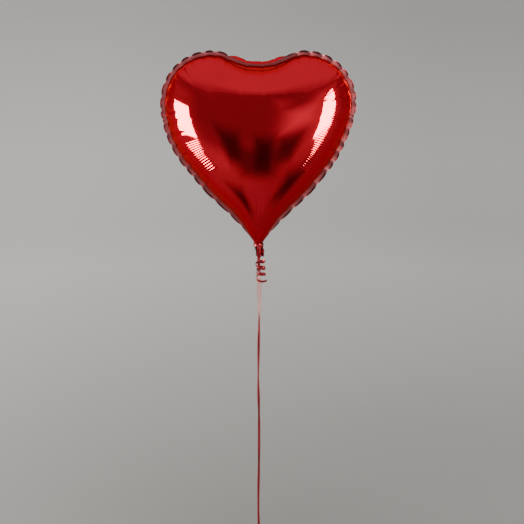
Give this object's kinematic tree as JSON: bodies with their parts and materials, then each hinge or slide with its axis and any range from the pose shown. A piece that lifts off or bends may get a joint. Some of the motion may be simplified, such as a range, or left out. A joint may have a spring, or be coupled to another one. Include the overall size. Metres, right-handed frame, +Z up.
{
  "type": "heart-shaped foil balloon",
  "caption": "Inflated heart-shaped foil balloon with a gathered tail, tied to a taut flat curling ribbon that ends in a loop, with a short curled end hanging at the throat.",
  "frame": {"origin": "inside of the loop at the ribbon's lower end, at its lowest point, where a hook, pin or finger holds the balloon down", "axes": "+Z up along the taut ribbon to the balloon, the heart's front faces -Y, +X to the right seen from the front"},
  "size_m": [0.3916, 0.194, 1.0725],
  "materials": {
    "red_foil": "mirror-gloss red metallised film",
    "red_ribbon": "satin-gloss red curling ribbon, ribbed lengthwise",
    "clear_film": "clear glossy film"
  },
  "bodies": {
    "loop": {"end_loop": "red_ribbon"},
    "lower_knot": {"end_knot": "red_ribbon"},
    "ribbon": {"tether_ribbon": "red_ribbon"},
    "upper_knot": {"neck_knot": "red_ribbon"},
    "balloon": {"front_foil_panel": "red_foil", "rear_foil_panel": "red_foil", "front_valve_film": "clear_film", "rear_valve_film": "clear_film", "neck_wrap": "red_ribbon"},
    "curl": {"curl_lead": "red_ribbon", "curled_ribbon_end": "red_ribbon"}
  },
  "joints": [
    {"name": "ribbon_turn", "type": "hinge", "parent": "loop", "child": "lower_knot", "pos_m": [0, 0, 0.0505], "axis": [0, 0, 1], "continuous": true},
    {"name": "ribbon_sway", "type": "hinge", "parent": "lower_knot", "child": "ribbon", "pos_m": [0, 0, 0.0505], "axis": [0, 1, 0], "range_deg": [-35, 35], "stiffness_Nm_per_rad": 0.3},
    {"name": "balloon_nod", "type": "hinge", "parent": "ribbon", "child": "upper_knot", "pos_m": [0, 0.0151, 0.6775], "axis": [1, 0, 0], "range_deg": [-12, 12], "stiffness_Nm_per_rad": 0.1},
    {"name": "balloon_tilt", "type": "hinge", "parent": "upper_knot", "child": "balloon", "pos_m": [0, 0, 0.6775], "axis": [0, 1, 0], "range_deg": [-20, 20], "stiffness_Nm_per_rad": 0.1},
    {"name": "curl_swing", "type": "hinge", "parent": "ribbon", "child": "curl", "pos_m": [0, -0.0151, 0.6775], "axis": [0, 1, 0], "range_deg": [-30, 30]}
  ]
}
